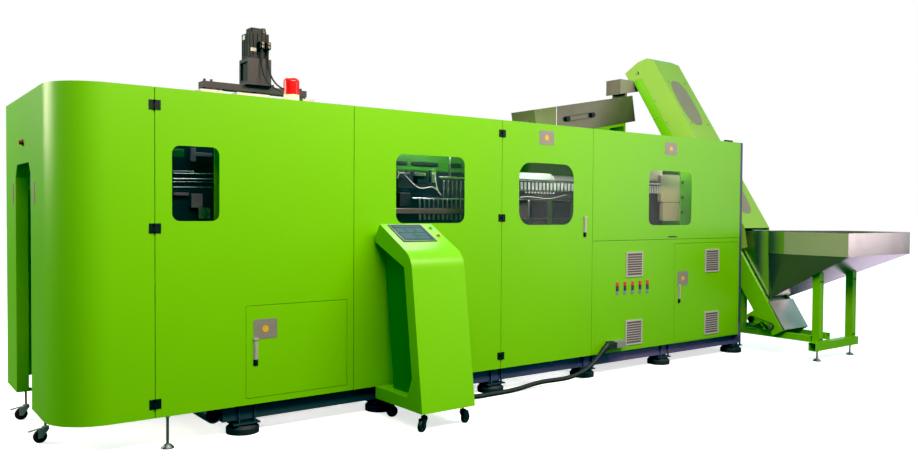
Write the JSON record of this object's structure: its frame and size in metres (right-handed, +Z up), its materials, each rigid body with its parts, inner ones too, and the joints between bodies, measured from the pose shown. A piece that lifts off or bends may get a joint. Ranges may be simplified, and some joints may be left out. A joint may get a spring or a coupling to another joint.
{
  "type": "blow moulding machine",
  "caption": "Linear stretch blow moulding machine: green sheet-metal enclosure with windowed doors, preform hopper, inclined elevator, unscrambler and wheeled console.",
  "frame": {"origin": "centre of the underside of the front left machine mount, on the floor", "axes": "+X along the machine from the bottle outlet to the elevator, +Y from the front to the rear, +Z up"},
  "size_m": [7.4, 2.819, 3.0703],
  "materials": {
    "panel_green": "satin",
    "frame_green": "satin",
    "base_paint": "satin",
    "mount_rubber": "satin",
    "clear_pane": "gloss",
    "handle_metal": "gloss",
    "fitting_plastic": "matte",
    "cable_rubber": "matte",
    "caster_metal": "gloss",
    "caster_plastic": "matte",
    "drive_metal": "satin",
    "motor_black": "satin",
    "beacon_red": "gloss",
    "machined_steel": "satin",
    "clamp_paint": "satin",
    "mould_aluminium": "satin",
    "oven_white": "satin",
    "heater_dark": "satin",
    "belt_plastic": "matte",
    "stainless": "satin",
    "gear_grey": "satin",
    "screen_black": "gloss",
    "button_green": "gloss",
    "button_red": "gloss"
  },
  "bodies": {
    "machine": {"base_frame": "base_paint", "machine_mounts": "mount_rubber", "enclosure_frame": "frame_green", "elevator_frame": "frame_green", "hopper_frame": "frame_green", "front_panels": "panel_green", "rear_panels": "panel_green", "roof_panels": "panel_green", "cabinet_shell": "panel_green", "elevator_cover": "panel_green", "console_body": "panel_green", "window_panes": "clear_pane", "cabinet_fittings": "fitting_plastic", "console_cable": "cable_rubber", "servo_power_cable": "cable_rubber", "servo_signal_cable": "cable_rubber", "stretch_crossbeam": "drive_metal", "servo_motor": "motor_black", "beacon": "beacon_red", "preform_transport": "machined_steel", "blow_clamp_frame": "clamp_paint", "oven_body": "oven_white", "heater_modules": "heater_dark", "elevator_belt": "belt_plastic", "hopper_bin": "stainless", "unscrambler_trough": "stainless", "elevator_drive": "gear_grey", "unscrambler_drive": "gear_grey", "console_screen": "screen_black"},
    "near_end_door": {"near_end_door": "panel_green"},
    "far_end_door": {"far_end_door": "panel_green"},
    "near_door_fork": {"near_caster_fork": "caster_metal"},
    "near_door_wheel": {"near_caster_wheel": "caster_plastic"},
    "far_door_fork": {"far_caster_fork": "caster_metal"},
    "far_door_wheel": {"far_caster_wheel": "caster_plastic"},
    "access_door": {"access_door": "panel_green"},
    "access_handle": {"access_handle": "handle_metal"},
    "window_door": {"window_door": "panel_green", "window_door_pane": "clear_pane"},
    "window_door_handle": {"window_door_handle": "handle_metal"},
    "cabinet_door": {"cabinet_door": "panel_green"},
    "cabinet_handle": {"cabinet_handle": "handle_metal"},
    "stretch_carriage": {"stretch_carriage": "machined_steel"},
    "front_platen": {"front_platen": "mould_aluminium"},
    "rear_platen": {"rear_platen": "mould_aluminium"},
    "transfer_carriage": {"transfer_carriage": "mould_aluminium"},
    "head_roller": {"elevator_head_roller": "machined_steel"},
    "foot_roller": {"elevator_foot_roller": "machined_steel"},
    "front_trough_roller": {"unscrambler_front_roller": "machined_steel"},
    "rear_trough_roller": {"unscrambler_rear_roller": "machined_steel"},
    "start_button": {"start_button": "button_green"},
    "stop_button": {"stop_button": "button_red"},
    "console_fork_1": {"console_caster_1": "caster_plastic"},
    "console_wheel_1": {"console_wheel_1": "caster_plastic"},
    "console_fork_2": {"console_caster_2": "caster_plastic"},
    "console_wheel_2": {"console_wheel_2": "caster_plastic"},
    "console_fork_3": {"console_caster_3": "caster_plastic"},
    "console_wheel_3": {"console_wheel_3": "caster_plastic"},
    "console_fork_4": {"console_caster_4": "caster_plastic"},
    "console_wheel_4": {"console_wheel_4": "caster_plastic"}
  },
  "joints": [
    {"name": "near_end_door_hinge", "type": "hinge", "parent": "machine", "child": "near_end_door", "pos_m": [-0.56, -0.128, 1.12], "axis": [0, 0, 1], "range_deg": [0, 100]},
    {"name": "far_end_door_hinge", "type": "hinge", "parent": "machine", "child": "far_end_door", "pos_m": [-0.56, 1.688, 1.12], "axis": [0, 0, 1], "range_deg": [-100, 0]},
    {"name": "near_caster_swivel", "type": "hinge", "parent": "near_end_door", "child": "near_door_fork", "pos_m": [-1.02, 0.455, 0.08], "axis": [0, 0, 1], "continuous": true},
    {"name": "near_caster_roll", "type": "hinge", "parent": "near_door_fork", "child": "near_door_wheel", "pos_m": [-1.048, 0.455, 0.0375], "axis": [0, 1, 0], "continuous": true},
    {"name": "far_caster_swivel", "type": "hinge", "parent": "far_end_door", "child": "far_door_fork", "pos_m": [-1.02, 1.105, 0.08], "axis": [0, 0, 1], "continuous": true},
    {"name": "far_caster_roll", "type": "hinge", "parent": "far_door_fork", "child": "far_door_wheel", "pos_m": [-1.048, 1.105, 0.0375], "axis": [0, 1, 0], "continuous": true},
    {"name": "access_door_hinge", "type": "hinge", "parent": "machine", "child": "access_door", "pos_m": [0.659, -0.118, 0.508], "axis": [0, 0, 1], "range_deg": [0, 95]},
    {"name": "access_handle_lift", "type": "hinge", "parent": "access_door", "child": "access_handle", "pos_m": [0.034, -0.125, 0.574], "axis": [1, 0, 0], "range_deg": [-30, 0]},
    {"name": "window_door_hinge", "type": "hinge", "parent": "machine", "child": "window_door", "pos_m": [1.97, -0.128, 1.12], "axis": [0, 0, 1], "range_deg": [-110, 0]},
    {"name": "window_door_handle_lift", "type": "hinge", "parent": "window_door", "child": "window_door_handle", "pos_m": [2.85, -0.125, 1.316], "axis": [1, 0, 0], "range_deg": [-30, 0]},
    {"name": "cabinet_door_hinge", "type": "hinge", "parent": "machine", "child": "cabinet_door", "pos_m": [4.949, -0.118, 0.645], "axis": [0, 0, 1], "range_deg": [0, 90]},
    {"name": "cabinet_handle_lift", "type": "hinge", "parent": "cabinet_door", "child": "cabinet_handle", "pos_m": [4.068, -0.125, 0.702], "axis": [1, 0, 0], "range_deg": [-30, 0]},
    {"name": "stretch_lift", "type": "slide", "parent": "machine", "child": "stretch_carriage", "axis": [0, 0, 1], "range_m": [0, 0.38]},
    {"name": "front_platen_slide", "type": "slide", "parent": "machine", "child": "front_platen", "axis": [0, 1, 0], "range_m": [0, 0.0695]},
    {"name": "rear_platen_slide", "type": "slide", "parent": "machine", "child": "rear_platen", "axis": [0, 1, 0], "range_m": [-0.0695, 0]},
    {"name": "transfer_slide", "type": "slide", "parent": "machine", "child": "transfer_carriage", "axis": [1, 0, 0], "range_m": [-0.18, 0.25]},
    {"name": "head_roller_turn", "type": "hinge", "parent": "machine", "child": "head_roller", "pos_m": [5.33, 1.29503, 2.92489], "axis": [1, 0, 0], "continuous": true},
    {"name": "foot_roller_turn", "type": "hinge", "parent": "machine", "child": "foot_roller", "pos_m": [5.33, -0.39592, 0.29096], "axis": [1, 0, 0], "continuous": true},
    {"name": "front_trough_roller_turn", "type": "hinge", "parent": "machine", "child": "front_trough_roller", "pos_m": [4.31488, 1.412, 2.3796], "axis": [0.9829, 0, 0.184], "continuous": true},
    {"name": "rear_trough_roller_turn", "type": "hinge", "parent": "machine", "child": "rear_trough_roller", "pos_m": [4.31488, 1.498, 2.3796], "axis": [0.9829, 0, 0.184], "continuous": true},
    {"name": "start_button_press", "type": "slide", "parent": "machine", "child": "start_button", "axis": [0, 0.4644, -0.8856], "range_m": [0, 0.003], "stiffness_N_per_m": 300, "springref_m": -0.004},
    {"name": "stop_button_press", "type": "slide", "parent": "machine", "child": "stop_button", "axis": [0, 0.4644, -0.8856], "range_m": [0, 0.003], "stiffness_N_per_m": 300, "springref_m": -0.004},
    {"name": "console_caster_1_swivel", "type": "hinge", "parent": "machine", "child": "console_fork_1", "pos_m": [0.918, -0.64, 0.08], "axis": [0, 0, 1], "continuous": true},
    {"name": "console_caster_1_roll", "type": "hinge", "parent": "console_fork_1", "child": "console_wheel_1", "pos_m": [0.89262, -0.65183, 0.0375], "axis": [-0.4226, 0.9063, 0], "continuous": true},
    {"name": "console_caster_2_swivel", "type": "hinge", "parent": "machine", "child": "console_fork_2", "pos_m": [1.22, -0.64, 0.08], "axis": [0, 0, 1], "continuous": true},
    {"name": "console_caster_2_roll", "type": "hinge", "parent": "console_fork_2", "child": "console_wheel_2", "pos_m": [1.24631, -0.63042, 0.0375], "axis": [0.342, -0.9397, 0], "continuous": true},
    {"name": "console_caster_3_swivel", "type": "hinge", "parent": "machine", "child": "console_fork_3", "pos_m": [0.918, -0.215, 0.08], "axis": [0, 0, 1], "continuous": true},
    {"name": "console_caster_3_roll", "type": "hinge", "parent": "console_fork_3", "child": "console_wheel_3", "pos_m": [0.94431, -0.22458, 0.0375], "axis": [-0.342, -0.9397, 0], "continuous": true},
    {"name": "console_caster_4_swivel", "type": "hinge", "parent": "machine", "child": "console_fork_4", "pos_m": [1.22, -0.215, 0.08], "axis": [0, 0, 1], "continuous": true},
    {"name": "console_caster_4_roll", "type": "hinge", "parent": "console_fork_4", "child": "console_wheel_4", "pos_m": [1.19369, -0.20542, 0.0375], "axis": [0.342, 0.9397, 0], "continuous": true}
  ],
  "couplings": [
    {"joint": "rear_platen_slide", "follows": "front_platen_slide", "ratio": -1},
    {"joint": "foot_roller_turn", "follows": "head_roller_turn", "ratio": 1},
    {"joint": "rear_trough_roller_turn", "follows": "front_trough_roller_turn", "ratio": -1}
  ]
}
